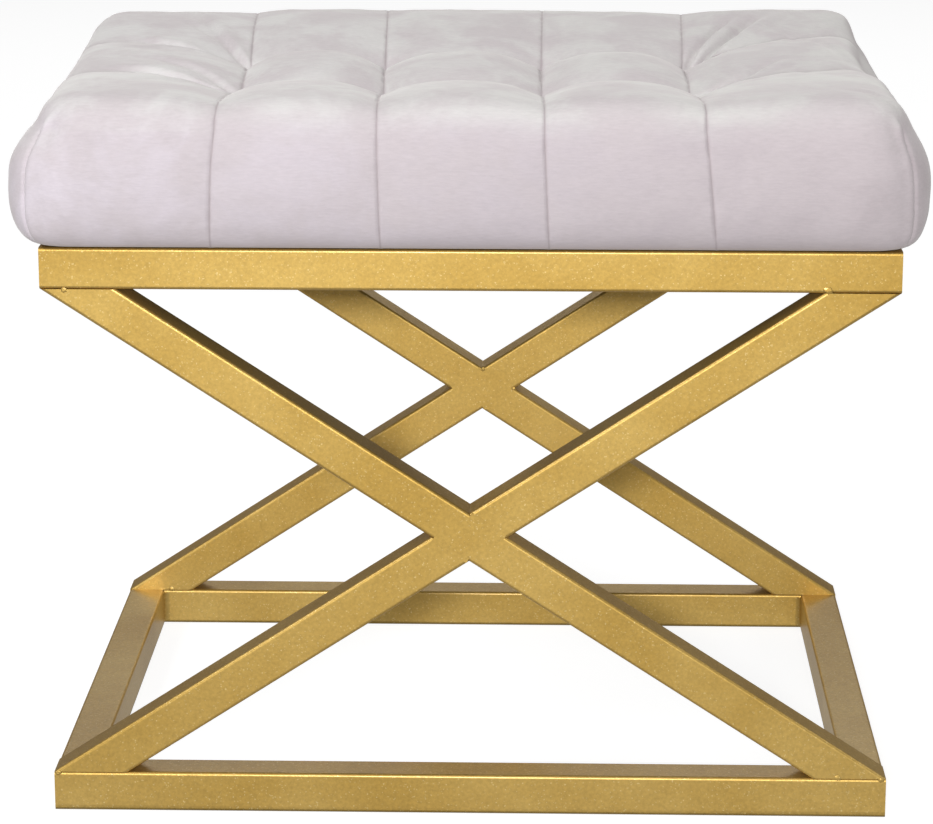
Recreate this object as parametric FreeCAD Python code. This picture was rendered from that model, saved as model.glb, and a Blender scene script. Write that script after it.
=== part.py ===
# X frame stool: a welded square tube frame with two crossed end frames and a tufted, upholstered seat.
# Millimetres. +Z is up, the front faces -Y, and the origin is on the floor under the middle of the seat.
import FreeCAD
import Part
import math
import os

# Frame, over the tubes
frame_width = 510.0
frame_depth = 405.0
frame_height = 353.0
tube_size = 25.0
tube_wall = 1.2
tube_corner_radius = 2.0
end_cap_thickness = 1.5
weld_leg = 3.5
weld_throat = 1.9

# Tabs that carry the seat's bolts, welded inside the upper ring
tab_width = 40.0
tab_thickness = 3.0
tab_corner_cut = 6.0
tab_hole_inset = 24.0
tab_end_margin = 12.0
tab_corner_distance = 67.5

# Bolts and nuts that hold the seat
bolt_diameter = 6.0
bolt_head_overhang = 3.8
bolt_head_height = 3.3
bolt_rim_height = 1.1
bolt_crown_diameter = 6.6
bolt_socket_width = 4.0
bolt_socket_depth = 2.0
bolt_hole_clearance = 0.3
bolt_tip_setback = 1.3
nut_barrel_wall = 1.0
nut_barrel_setback = 3.0
nut_flange_overhang = 5.5
nut_flange_thickness = 1.4
thread_clearance = 0.05

# Seat board, foam and lining
board_thickness = 12.0
board_edge_inset = 5.0
board_corner_radius = 12.0
foam_corner_radius = 22.0
foam_edge_bevel = 10.0
lining_thickness = 0.8
lining_edge_inset = 3.0
fabric_thickness = 1.5
fabric_lap = 10.0

# Staples that hold the fabric and the lining under the board
staple_crown = 10.0
staple_leg = 7.0
staple_wire = 0.7
staple_wire_width = 1.1
staple_pitch = 66.0

# Sides of the tufted quilt
quilt_bulge = 15.0
quilt_bulge_height = 32.0
quilt_draw_in = 47.0
quilt_base_corner_radius = 18.0
quilt_corner_radius = 34.0
base_puff_depth = 0.6
front_puff_depth = 4.0
end_puff_depth = 2.0
side_wadding = 14.0

# Top of the tufted quilt: puffs between seams that run front to back, and creases from side to side.
# The tufts' height is above the lining, and the rises are above the tufts.
quilt_columns = 5
quilt_rows = 3
outer_column_width = 108.0
tuft_height = 67.0
tuft_wadding = 8.5
crease_rise = 10.0
side_crease_rise = 14.0
side_edge_rise = 13.0
middle_seam_rise = 9.0
middle_crest_rise = 20.0
rim_seam_rise = 17.0
rim_crest_rise = 25.0
rim_crest_place = 0.75
shoulder_margin = 6.0

# Tapes that pull the tufts down to the board, each with its foot stapled under it
tape_width = 6.0
tape_thickness = 0.8
tape_slit_clearance = 0.5
tape_foot_length = 16.0

# Outlines that follow from the sizes above
half_width = frame_width / 2
half_depth = frame_depth / 2
bore_size = tube_size - 2 * tube_wall
ring_half_width = half_width - tube_size
ring_half_depth = half_depth - tube_size
board_half_width = half_width - board_edge_inset
board_half_depth = half_depth - board_edge_inset
foam_half_width = half_width + quilt_bulge - side_wadding
foam_half_depth = half_depth + quilt_bulge - side_wadding
column_pitch = (frame_width - 2 * outer_column_width) / (quilt_columns - 2)
row_pitch = frame_depth / quilt_rows

# Levels that follow from the sizes above, from the tabs up to the tufts
tab_level = frame_height - tab_thickness
lining_level = frame_height
wrap_level = lining_level + lining_thickness
board_level = wrap_level + fabric_thickness
foam_level = board_level + board_thickness
tuft_level = wrap_level + tuft_height
foam_top = tuft_level - tuft_wadding
tape_foot_level = board_level - tape_thickness
shoulder_height = tuft_height + rim_crest_rise + shoulder_margin

# Fasteners that follow from the sizes above
bolt_x = ring_half_width - tab_hole_inset
bolt_y = ring_half_depth - tab_corner_distance
bolt_hole_diameter = bolt_diameter + 2 * bolt_hole_clearance
bolt_head_diameter = bolt_diameter + 2 * bolt_head_overhang
bolt_length = foam_level - bolt_tip_setback - tab_level
nut_barrel_diameter = bolt_diameter + 2 * nut_barrel_wall
nut_length = board_thickness - nut_barrel_setback
nut_level = foam_level - nut_length
flange_level = foam_level - nut_flange_thickness
nut_flange_diameter = nut_barrel_diameter + 2 * nut_flange_overhang
reach = 2 * (frame_width + frame_depth + frame_height)
same_place = 0.01

X_AXIS = FreeCAD.Vector(1, 0, 0)
Y_AXIS = FreeCAD.Vector(0, 1, 0)
Z_AXIS = FreeCAD.Vector(0, 0, 1)


def vector(x, y, z):
    return FreeCAD.Vector(x, y, z)


def block(x0, x1, y0, y1, z0, z1):
    """A box between two corners."""
    return Part.makeBox(x1 - x0, y1 - y0, z1 - z0, vector(x0, y0, z0))


def cylinder(x, y, z, diameter, height):
    """An upright cylinder that stands on the level z."""
    return Part.makeCylinder(diameter / 2, height, vector(x, y, z), Z_AXIS)


def line(start, end):
    return Part.LineSegment(start, end).toShape()


def arc(start, middle, end):
    return Part.Arc(start, middle, end).toShape()


def rounded_wire(centre, side, up, width, height, radius):
    """A rectangle with round corners, in the plane of the unit vectors side and up."""
    edges = []
    inner_x = width / 2 - radius
    inner_y = height / 2 - radius
    corners = [(1, 1), (-1, 1), (-1, -1), (1, -1)]
    ends = []
    for number, (sx, sy) in enumerate(corners):
        middle = centre + side * (sx * inner_x) + up * (sy * inner_y)
        on_side = middle + side * (sx * radius)
        on_top = middle + up * (sy * radius)
        bend = middle + (side * sx + up * sy) * (radius / math.sqrt(2))
        first, last = (on_side, on_top) if number % 2 == 0 else (on_top, on_side)
        ends.append((first, bend, last))
    for number, (first, bend, last) in enumerate(ends):
        edges.append(arc(first, bend, last))
        edges.append(line(last, ends[(number + 1) % 4][0]))
    return Part.Wire(edges)


def bar(start, direction, length, side, width, height, radius):
    """A solid bar of rounded section that runs from start along direction."""
    up = direction.cross(side)
    section = Part.Face(rounded_wire(start, side, up, width, height, radius))
    return section.extrude(direction * length)


def tube(start, direction, length, side):
    """A length of the frame's square tube, open at both ends."""
    outside = bar(start, direction, length, side, tube_size, tube_size, tube_corner_radius)
    return outside.cut(square_bar(start, direction, length, side, bore_size))


def square_bar(start, direction, length, side, size):
    """A solid bar of sharp-edged square section that runs from start along direction."""
    up = direction.cross(side)
    turns = [(1, 1), (-1, 1), (-1, -1), (1, -1), (1, 1)]
    corners = [start + (side * across + up * above) * (size / 2) for across, above in turns]
    return Part.Face(Part.makePolygon(corners)).extrude(direction * length)


def plate(half_x, half_y, radius, z, thickness):
    """A flat rectangular sheet with round corners, lying on the level z."""
    return bar(vector(0, 0, z), Z_AXIS, thickness, X_AXIS, 2 * half_x, 2 * half_y, radius)


def long_rail(face, z):
    """A rail of the front (face -1) or back (face 1), the frame's full width, centred at z."""
    start = vector(-half_width, face * (half_depth - tube_size / 2), z)
    return tube(start, X_AXIS, frame_width, Y_AXIS)


def side_rail(side, z):
    """A rail of the left (side -1) or right (side 1), between the front and back rails."""
    start = vector(side * (half_width - tube_size / 2), -ring_half_depth, z)
    return tube(start, Y_AXIS, 2 * ring_half_depth, X_AXIS)


def rail_end_caps():
    """Plates welded flush into both ends of the four long rails."""
    caps = []
    for side in (-1, 1):
        for face in (-1, 1):
            for z in (tube_size / 2, frame_height - tube_size / 2):
                y = face * (half_depth - tube_size / 2)
                outer_end = vector(side * half_width, y, z)
                caps.append(square_bar(outer_end, X_AXIS * -side, end_cap_thickness, Y_AXIS, bore_size))
    return caps


def brace_lean():
    """The angle of a brace above the floor, with its outer edges ending on the rails' corners."""
    run = half_width
    rise = frame_height / 2 - tube_size
    return math.acos(-tube_size / 2 / math.hypot(run, rise)) - math.atan2(run, rise)


def between_rails(shape):
    """The part of a shape between the lower and the upper rails."""
    slab = block(-reach, reach, -reach, reach, tube_size, frame_height - tube_size)
    return shape.common(slab)


def front_braces():
    """The crossed tubes of the front: one whole brace, and two halves butted against its sides."""
    lean = brace_lean()
    centre = vector(0, -(half_depth - tube_size / 2), frame_height / 2)
    falling = vector(math.cos(lean), 0, -math.sin(lean))
    rising = vector(math.cos(lean), 0, math.sin(lean))
    whole = between_rails(tube(centre - falling * (reach / 2), falling, reach, Y_AXIS))
    crossing = between_rails(tube(centre - rising * (reach / 2), rising, reach, Y_AXIS))
    room_for_whole = block(-reach, reach, -reach, reach, -tube_size / 2, tube_size / 2)
    room_for_whole.rotate(vector(0, 0, 0), Y_AXIS, math.degrees(lean))
    room_for_whole.translate(centre)
    halves = crossing.cut(room_for_whole).Solids
    halves.sort(key=lambda half: half.CenterOfMass.z)
    return whole, halves[0], halves[-1]


def turned_round(shape):
    """The same piece at the back: the frame is the same after half a turn."""
    turned = shape.copy()
    turned.rotate(vector(0, 0, 0), Z_AXIS, 180)
    return turned


def corner_welds(z):
    """Fillet welds in the four inner corners of a ring of rails centred at z."""
    welds = []
    height = tube_size - 2 * tube_corner_radius
    for side in (-1, 1):
        for face in (-1, 1):
            corner = vector(side * ring_half_width, face * ring_half_depth, z - height / 2)
            along_x = corner - X_AXIS * (side * weld_leg)
            along_y = corner - Y_AXIS * (face * weld_leg)
            hollow = corner - (X_AXIS * side + Y_AXIS * face) * (weld_throat / math.sqrt(2))
            edges = [line(corner, along_x), arc(along_x, hollow, along_y), line(along_y, corner)]
            welds.append(Part.Face(Part.Wire(edges)).extrude(Z_AXIS * height))
    return welds


def bolt_places():
    """The four upright bolt lines, as (x, y)."""
    return [(side * bolt_x, face * bolt_y) for side in (-1, 1) for face in (-1, 1)]


def seat_tabs():
    """Drilled plates welded to the inner faces of the upper side rails, level with their tops."""
    tabs = []
    for x, y in bolt_places():
        side = math.copysign(1, x)
        welded_end = side * ring_half_width
        free_end = x - side * tab_end_margin
        low_x, high_x = sorted((welded_end, free_end))
        tab = block(low_x, high_x, y - tab_width / 2, y + tab_width / 2, tab_level, frame_height)
        free_edges = []
        for edge in tab.Edges:
            size = edge.BoundBox
            upright = size.ZLength > tab_thickness / 2
            if upright and abs(size.XMin - free_end) < same_place:
                free_edges.append(edge)
        tab = tab.makeChamfer(tab_corner_cut, free_edges)
        tabs.append(tab.cut(cylinder(x, y, tab_level, bolt_hole_diameter, tab_thickness)))
    return tabs


def hexagon_prism(x, y, z, width, height):
    """An upright hexagonal prism, width across its flats."""
    radius = width / math.sqrt(3)
    points = []
    for corner in range(7):
        turn = math.radians(60 * corner)
        points.append(vector(x + radius * math.cos(turn), y + radius * math.sin(turn), z))
    return Part.Face(Part.makePolygon(points)).extrude(Z_AXIS * height)


def seat_bolts():
    """Flanged button head bolts that come up through the tabs into the nuts."""
    bolts = []
    for x, y in bolt_places():
        profile = [
            vector(x, y, tab_level),
            vector(x + bolt_head_diameter / 2, y, tab_level),
            vector(x + bolt_head_diameter / 2, y, tab_level - bolt_rim_height),
            vector(x + bolt_crown_diameter / 2, y, tab_level - bolt_head_height),
            vector(x, y, tab_level - bolt_head_height),
            vector(x, y, tab_level),
        ]
        head = Part.Face(Part.makePolygon(profile)).revolve(profile[0], Z_AXIS, 360)
        shank = cylinder(x, y, tab_level, bolt_diameter, bolt_length)
        socket = hexagon_prism(x, y, tab_level - bolt_head_height, bolt_socket_width, bolt_socket_depth)
        bolts.append(head.fuse(shank).cut(socket).removeSplitter())
    return bolts


def seat_nuts():
    """Flanged nuts pressed into the board from above, flush with its upper face."""
    nuts = []
    bore_diameter = bolt_diameter + 2 * thread_clearance
    for x, y in bolt_places():
        barrel = cylinder(x, y, nut_level, nut_barrel_diameter, nut_length)
        flange = cylinder(x, y, flange_level, nut_flange_diameter, nut_flange_thickness)
        bore = cylinder(x, y, nut_level, bore_diameter, nut_length)
        nuts.append(barrel.fuse(flange).cut(bore).removeSplitter())
    return nuts


def tuft_places():
    """The tufts: where the seams between columns cross the creases between rows."""
    xs = [(number - (quilt_columns - 2) / 2) * column_pitch for number in range(quilt_columns - 1)]
    ys = [(number - (quilt_rows - 2) / 2) * row_pitch for number in range(quilt_rows - 1)]
    return xs, ys


def tape_slits(z0, z1):
    """Slits for the tufts' tapes between two levels."""
    half_long = tape_width / 2 + tape_slit_clearance
    half_wide = tape_thickness / 2 + tape_slit_clearance
    xs, ys = tuft_places()
    places = [(x, y) for x in xs for y in ys]
    return [block(x - half_long, x + half_long, y - half_wide, y + half_wide, z0, z1) for x, y in places]


def tuft_tapes():
    """Tapes sewn under the tufts, led down through the foam and the board, and turned over below it."""
    tapes = []
    xs, ys = tuft_places()
    for x in xs:
        for y in ys:
            inward = -math.copysign(1, y)
            near = y - inward * tape_thickness / 2
            far = y + inward * tape_foot_length
            x0, x1 = x - tape_width / 2, x + tape_width / 2
            y0, y1 = y - tape_thickness / 2, y + tape_thickness / 2
            strip = block(x0, x1, y0, y1, tape_foot_level, foam_top)
            foot = block(x0, x1, min(near, far), max(near, far), tape_foot_level, board_level)
            tapes.append(strip.fuse(foot).removeSplitter())
    return tapes


def tape_staple_places():
    """One staple through the foot of each tape: (x, y, along)."""
    xs, ys = tuft_places()
    reach_in = tape_foot_length * 2 / 3
    return [(x, y - math.copysign(reach_in, y), X_AXIS) for x in xs for y in ys]


def tape_staples():
    """Staples whose crowns lie across the tapes' feet."""
    return [staple(x, y, along, tape_foot_level) for x, y, along in tape_staple_places()]


def seat_board():
    """The plywood board, bored for the nuts and slit for the tapes and staples."""
    board = plate(board_half_width, board_half_depth, board_corner_radius, board_level, board_thickness)
    cuts = tape_slits(board_level, foam_level) + lining_staple_slots() + tape_staple_slots()
    for x, y in bolt_places():
        cuts.append(cylinder(x, y, board_level, nut_barrel_diameter, board_thickness))
        cuts.append(cylinder(x, y, flange_level, nut_flange_diameter, nut_flange_thickness))
    return board.cut(cuts)


def foam_block():
    """The foam before it is slit: a block with round corners and a bevelled upper edge."""
    foam = plate(foam_half_width, foam_half_depth, foam_corner_radius, foam_level, foam_top - foam_level)
    top_edges = [edge for edge in foam.Edges if abs(edge.BoundBox.ZMin - foam_top) < same_place]
    return foam.makeChamfer(foam_edge_bevel, top_edges)


def foam_core():
    """The foam, slit for the tapes."""
    return foam_block().cut(tape_slits(foam_level, foam_top))


def lining():
    """The thin lining under the board, between the frame and the folded edge of the fabric."""
    hx = board_half_width - lining_edge_inset
    hy = board_half_depth - lining_edge_inset
    sheet = block(-hx, hx, -hy, hy, lining_level, wrap_level)
    cuts = lining_staple_slots()
    for x, y in bolt_places():
        cuts.append(cylinder(x, y, lining_level, bolt_hole_diameter, lining_thickness))
    return sheet.cut(cuts)


def upright_block(foot, along, length, width, height):
    """A block that stands on foot, with its length in the level direction along."""
    half_long = along * (length / 2)
    half_wide = along.cross(Z_AXIS) * (width / 2)
    corners = [
        foot + half_long + half_wide,
        foot - half_long + half_wide,
        foot - half_long - half_wide,
        foot + half_long - half_wide,
        foot + half_long + half_wide,
    ]
    return Part.Face(Part.makePolygon(corners)).extrude(Z_AXIS * height)


def staple_legs(x, y, along, level):
    """The two legs of a staple, from the level under what it holds up into the board."""
    legs = []
    for end in (-1, 1):
        foot = vector(x, y, level) + along * (end * (staple_crown - staple_wire) / 2)
        legs.append(upright_block(foot, along, staple_wire, staple_wire_width, staple_leg))
    return legs


def staple(x, y, along, level):
    """One staple: its crown lies under the given level, in the direction along."""
    foot = vector(x, y, level - staple_wire)
    crown = upright_block(foot, along, staple_crown, staple_wire_width, staple_wire)
    return crown.fuse(staple_legs(x, y, along, level)).removeSplitter()


def spaced(half_length):
    """Evenly pitched places along an edge, clear of its ends."""
    count = int(2 * (half_length - staple_pitch / 2) // staple_pitch)
    return [(number - count / 2) * staple_pitch for number in range(count + 1)]


def lining_staple_places():
    """Staples all round, just inside the frame's upper ring, except over the tabs: (x, y, along)."""
    places = []
    line_x = ring_half_width - fabric_lap / 2
    line_y = ring_half_depth - fabric_lap / 2
    for x in spaced(line_x):
        places += [(x, face * line_y, X_AXIS) for face in (-1, 1)]
    for y in spaced(line_y):
        beside_tab = abs(abs(y) - bolt_y) > (tab_width + staple_crown) / 2
        if beside_tab:
            places += [(side * line_x, y, Y_AXIS) for side in (-1, 1)]
    return places


def lining_staples():
    """The staples that hold the lining and the fabric's folded edge to the board."""
    return [staple(x, y, along, lining_level) for x, y, along in lining_staple_places()]


def lining_staple_slots():
    """What the lining staples' legs take out of the lining, the fabric and the board."""
    slots = []
    for x, y, along in lining_staple_places():
        slots += staple_legs(x, y, along, lining_level)
    return slots


def tape_staple_slots():
    """What the tape staples' legs take out of the board."""
    slots = []
    for x, y, along in tape_staple_places():
        slots += staple_legs(x, y, along, tape_foot_level)
    return slots


def quilt_offset(rise):
    """How far the quilt's side stands out from the frame, at a height above the lining."""
    if rise < quilt_bulge_height:
        share = 1 - rise / quilt_bulge_height
        return quilt_bulge * math.sqrt(1 - share * share)
    share = (rise - quilt_bulge_height) / (shoulder_height - quilt_bulge_height)
    return quilt_bulge - quilt_draw_in * (1 - math.sqrt(1 - share * share))


def bowed_edges(points, outward, depth):
    """Arcs from point to point along one side, each bowed outward."""
    edges = []
    for start, end in zip(points, points[1:]):
        middle = (start + end) * 0.5 + outward * depth
        edges.append(arc(start, middle, end))
    return edges


def quilt_outline(rise):
    """The quilt's level outline: bowed puffs between the seams of each side, and round corners."""
    offset = quilt_offset(rise)
    z = wrap_level + rise
    hx = half_width + offset
    hy = half_depth + offset
    grown = min(rise / quilt_bulge_height, 1)
    radius = quilt_base_corner_radius + (quilt_corner_radius - quilt_base_corner_radius) * grown
    long_bow = base_puff_depth + (front_puff_depth - base_puff_depth) * grown
    short_bow = base_puff_depth + (end_puff_depth - base_puff_depth) * grown
    xs, ys = tuft_places()
    front = [vector(x, -hy, z) for x in [-hx + radius] + xs + [hx - radius]]
    right = [vector(hx, y, z) for y in (-hy + radius, hy - radius)]
    back = [vector(-point.x, hy, z) for point in front]
    left = [vector(-hx, y, z) for y in (hy - radius, -hy + radius)]
    edges = []
    sides = [
        (front, right, Y_AXIS * -1, X_AXIS, long_bow),
        (right, back, X_AXIS, Y_AXIS, short_bow),
        (back, left, Y_AXIS, X_AXIS * -1, long_bow),
        (left, front, X_AXIS * -1, Y_AXIS * -1, short_bow),
    ]
    for points, following, outward, next_outward, depth in sides:
        edges += bowed_edges(points, outward, depth)
        centre = points[-1] - outward * radius
        bend = centre + (outward + next_outward) * (radius / math.sqrt(2))
        edges.append(arc(points[-1], bend, following[0]))
    return Part.Wire(edges)


def quilt_sides():
    """The quilt's sides, as one ruled loft of level outlines that runs past its top."""
    rises = [quilt_bulge_height * share for share in (0.0, 0.06, 0.2, 0.5, 1.0)]
    upper = shoulder_height - quilt_bulge_height
    rises += [quilt_bulge_height + upper * share for share in (0.35, 0.6, 0.78, 0.9, 0.97)]
    return Part.makeLoft([quilt_outline(rise) for rise in rises], True, True)


def quilt_section(y, seam_rise, crest_rise, side_rise):
    """An upright section across the width: an arc between each pair of seams, and a flat foot."""
    xs, ys = tuft_places()
    side_x = half_width + 2 * quilt_bulge
    foot = wrap_level - quilt_bulge
    points = [vector(-side_x, y, tuft_level + side_edge_rise)]
    points += [vector(x, y, tuft_level + seam_rise) for x in xs]
    points.append(vector(side_x, y, tuft_level + side_edge_rise))
    edges = []
    for number, (start, end) in enumerate(zip(points, points[1:])):
        middle = (start + end) * 0.5
        outermost = number in (0, len(points) - 2)
        middle.z = tuft_level + (side_rise if outermost else crest_rise)
        edges.append(arc(start, middle, end))
    low_right = vector(side_x, y, foot)
    low_left = vector(-side_x, y, foot)
    edges.append(line(points[-1], low_right))
    edges.append(line(low_right, low_left))
    edges.append(line(low_left, points[0]))
    return Part.Wire(edges)


def rim_row(face):
    """The top of the row of puffs along the front (face -1) or back (face 1) edge."""
    xs, ys = tuft_places()
    start = max(ys)
    sections = []
    for share in (0.0, 0.1, 0.25, 0.45, 0.65, 0.85, 1.0):
        y = face * (start + (half_depth - start) * share)
        seam_rise = rim_seam_rise * math.sin(math.pi / 2 * share)
        swell = math.sin(math.pi / 2 * share / rim_crest_place)
        crest_rise = crease_rise + (rim_crest_rise - crease_rise) * swell
        side_rise = side_crease_rise + (rim_crest_rise - side_crease_rise) * swell
        sections.append(quilt_section(y, seam_rise, crest_rise, side_rise))
    outside = face * (half_depth + 2 * quilt_bulge)
    sections.append(quilt_section(outside, seam_rise, crest_rise, side_rise))
    return Part.makeLoft(sections, True, True)


def middle_row(start, end):
    """The top of one row of puffs between two lines of tufts."""
    sections = []
    for share in (0.0, 0.12, 0.3, 0.5, 0.7, 0.88, 1.0):
        y = start + (end - start) * share
        swell = math.sin(math.pi * share)
        seam_rise = middle_seam_rise * swell
        crest_rise = crease_rise + (middle_crest_rise - crease_rise) * swell
        side_rise = side_crease_rise + (middle_crest_rise - side_crease_rise) * swell
        sections.append(quilt_section(y, seam_rise, crest_rise, side_rise))
    return Part.makeLoft(sections, True, True)


def quilt_body():
    """The whole outside of the quilt: its rows of puffs, trimmed by its sides."""
    xs, ys = tuft_places()
    rows = [rim_row(1)] + [middle_row(start, end) for start, end in zip(ys, ys[1:])]
    return quilt_sides().common(rim_row(-1).fuse(rows))


def quilted_cover():
    """The velvet with its wadding, hollow for the board and foam, and folded under the board's edge."""
    board_room = plate(board_half_width, board_half_depth, board_corner_radius, board_level, board_thickness)
    hx = ring_half_width - fabric_lap
    hy = ring_half_depth - fabric_lap
    opening = block(-hx, hx, -hy, hy, wrap_level, board_level)
    return quilt_body().cut([board_room, foam_block(), opening] + lining_staple_slots())


def build():
    """Every piece, by its node's name."""
    lower = tube_size / 2
    upper = frame_height - tube_size / 2
    whole, lower_half, upper_half = front_braces()
    return {
        "front_base_rail": long_rail(-1, lower),
        "back_base_rail": long_rail(1, lower),
        "left_base_rail": side_rail(-1, lower),
        "right_base_rail": side_rail(1, lower),
        "front_seat_rail": long_rail(-1, upper),
        "back_seat_rail": long_rail(1, upper),
        "left_seat_rail": side_rail(-1, upper),
        "right_seat_rail": side_rail(1, upper),
        "front_brace_whole": whole,
        "front_brace_lower_half": lower_half,
        "front_brace_upper_half": upper_half,
        "back_brace_whole": turned_round(whole),
        "back_brace_lower_half": turned_round(lower_half),
        "back_brace_upper_half": turned_round(upper_half),
        "rail_end_caps": rail_end_caps(),
        "base_corner_welds": corner_welds(lower),
        "seat_corner_welds": corner_welds(upper),
        "seat_tabs": seat_tabs(),
        "seat_bolts": seat_bolts(),
        "seat_nuts": seat_nuts(),
        "seat_board": seat_board(),
        "foam_core": foam_core(),
        "lining": lining(),
        "lining_staples": lining_staples(),
        "tuft_tapes": tuft_tapes(),
        "tape_staples": tape_staples(),
        "quilted_cover": quilted_cover(),
    }


def export(pieces):
    """Writes each piece to its own STEP file."""
    os.makedirs("parts", exist_ok=True)
    for name, shape in pieces.items():
        shapes = shape if isinstance(shape, list) else [shape]
        solids = [solid for one in shapes for solid in one.Solids]
        whole = solids[0] if len(solids) == 1 else Part.makeCompound(solids)
        whole.exportStep(os.path.join("parts", name + ".step"))
        volume = sum(solid.Volume for solid in solids)
        print(f"{name}: {len(solids)} solid(s), {volume / 1000:.1f} cm3, valid {whole.isValid()}")


export(build())
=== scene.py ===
"""X frame stool: gold painted square tube, crossed braces and a tufted velvet seat, dressed over its CAD frame."""
import logging
import math
from dataclasses import dataclass, field
from enum import Enum
from functools import partial
from typing import Callable, Sequence

import bmesh
import bpy
from mathutils import Matrix, Vector, noise


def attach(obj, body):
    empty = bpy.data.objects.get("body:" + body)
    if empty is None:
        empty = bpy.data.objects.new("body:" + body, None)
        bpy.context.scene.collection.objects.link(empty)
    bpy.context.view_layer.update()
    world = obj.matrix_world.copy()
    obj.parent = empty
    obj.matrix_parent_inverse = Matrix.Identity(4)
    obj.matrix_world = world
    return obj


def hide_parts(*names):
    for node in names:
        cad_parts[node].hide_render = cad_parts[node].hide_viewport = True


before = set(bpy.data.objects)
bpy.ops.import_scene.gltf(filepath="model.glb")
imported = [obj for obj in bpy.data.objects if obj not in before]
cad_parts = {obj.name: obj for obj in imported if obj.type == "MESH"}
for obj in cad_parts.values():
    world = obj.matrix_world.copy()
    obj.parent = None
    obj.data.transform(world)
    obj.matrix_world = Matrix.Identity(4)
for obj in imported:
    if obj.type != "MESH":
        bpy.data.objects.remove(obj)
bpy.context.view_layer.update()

logging.basicConfig(level=logging.INFO, format="%(message)s")
log = logging.getLogger("stool")

MM = 0.001
BODY = "root"

# Settings that several shader nodes share
RGBA = {"data_type": "RGBA"}
TINT = {"data_type": "RGBA", "blend_type": "MULTIPLY"}
EASED = {"interpolation_type": "SMOOTHSTEP"}

NodeAdder = Callable[..., bpy.types.Node]
Mesh = bmesh.types.BMesh
Pair = tuple[float, float]
Triple = tuple[float, float, float]
Row = tuple[float, ...]


def linear(code: str) -> tuple[float, float, float, float]:
    """Turns an sRGB hex colour into linear light.

    Args:
        code: the colour as "#RRGGBB".

    Returns:
        Red, green, blue and an alpha of one.
    """
    parts = [int(code[i:i + 2], 16) / 255 for i in (1, 3, 5)]
    light = [part / 12.92 if part <= 0.04045 else ((part + 0.055) / 1.055) ** 2.4 for part in parts]
    return (*light, 1.0)


def add_node(
    tree: bpy.types.NodeTree, kind: str, settings: dict | None = None, feeds: dict | None = None
) -> bpy.types.Node:
    """Adds a shader node with its settings and links.

    Args:
        tree: the node tree that gets it.
        kind: the node's type in Blender, without its ShaderNode prefix.
        settings: the node's own properties.
        feeds: for each input, by name or number, a value, a hex colour, the socket that feeds it, or the node
            whose first output feeds it.

    Returns:
        The new node.
    """
    node = tree.nodes.new("ShaderNode" + kind)
    for name, value in (settings or {}).items():
        setattr(node, name, value)
    for name, value in (feeds or {}).items():
        if isinstance(value, bpy.types.Node):
            value = next(socket for socket in value.outputs if socket.enabled)
        if isinstance(value, bpy.types.NodeSocket):
            tree.links.new(value, node.inputs[name])
        else:
            node.inputs[name].default_value = linear(value) if isinstance(value, str) else value
    return node


def smooth_step(low: float, high: float, value: float) -> float:
    """Rises smoothly from zero at low to one at high."""
    share = min(max((value - low) / (high - low), 0.0), 1.0)
    return share * share * (3 - 2 * share)


def bell(value: float, middle: float, width: float) -> float:
    """Is one at the middle and falls off to both sides."""
    return math.exp(-((value - middle) / width) ** 2)


def blend(a: float, b: float, share: float) -> float:
    """Goes from a at share zero to b at share one."""
    return a + (b - a) * share


def through(stations: Sequence[float], values: Sequence[float], place: float) -> float:
    """Reads a value at a place between stations, straight from one to the next.

    Args:
        stations: places in rising order.
        values: the value at each station.
        place: where to read.

    Returns:
        The value there, held level past either end.
    """
    if place <= stations[0]:
        return values[0]
    for (s0, s1), (v0, v1) in zip(zip(stations, stations[1:]), zip(values, values[1:])):
        if place <= s1:
            return blend(v0, v1, (place - s0) / (s1 - s0))
    return values[-1]


def extruded(
    bm: Mesh, border: list[bmesh.types.BMEdge]
) -> tuple[list[bmesh.types.BMVert], list[bmesh.types.BMEdge]]:
    """Grows a mesh by one ring of faces along its border.

    Args:
        bm: the mesh.
        border: the edges to grow from.

    Returns:
        The ring's new points, which still lie on the old ones, and its new border.
    """
    grown = bmesh.ops.extrude_edge_only(bm, edges=border)["geom"]
    edges = [part for part in grown if isinstance(part, bmesh.types.BMEdge) and part.is_boundary]
    return [part for part in grown if isinstance(part, bmesh.types.BMVert)], edges


def finished(
    bm: Mesh, name: str, material: bpy.types.Material, smooth: bool = True, unit: float = 1.0
) -> bpy.types.Object:
    """Turns a mesh in the making into an object of the scene.

    Args:
        bm: the mesh, which is freed.
        name: the piece's name.
        material: its finish.
        smooth: whether its faces are shaded smooth.
        unit: the mesh's unit in metres.

    Returns:
        The object, at the origin.
    """
    bmesh.ops.scale(bm, verts=bm.verts, vec=(unit, unit, unit))
    for face in bm.faces:
        face.smooth = smooth
    mesh = bpy.data.meshes.new(name)
    bm.to_mesh(mesh)
    bm.free()
    mesh.materials.append(material)
    piece = bpy.data.objects.new(name, mesh)
    bpy.context.scene.collection.objects.link(piece)
    return piece


def on_body(piece: bpy.types.Object) -> bpy.types.Object:
    """Lets a piece ride on the stool's one body, and logs it."""
    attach(piece, BODY)
    log.info("%s: %d faces", piece.name, len(piece.data.polygons))
    return piece


@dataclass(frozen=True)
class Coating:
    """What all finishes share: a named material, made of the nodes that each finish adds."""

    title: str = "coating"
    shader: str = "BsdfPrincipled"

    def surface(self, add: NodeAdder) -> dict:
        """Adds the finish's nodes.

        Args:
            add: adds a node to the finish's tree.

        Returns:
            What feeds each input of its shader.
        """
        raise NotImplementedError

    def material(self) -> bpy.types.Material:
        """Makes the finish's material."""
        made = bpy.data.materials.new(self.title)
        made.use_nodes = True
        made.node_tree.nodes.clear()
        add = partial(add_node, made.node_tree)
        shader = add(self.shader, feeds=self.surface(add))
        add("OutputMaterial", feeds={"Surface": shader})
        return made


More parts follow.
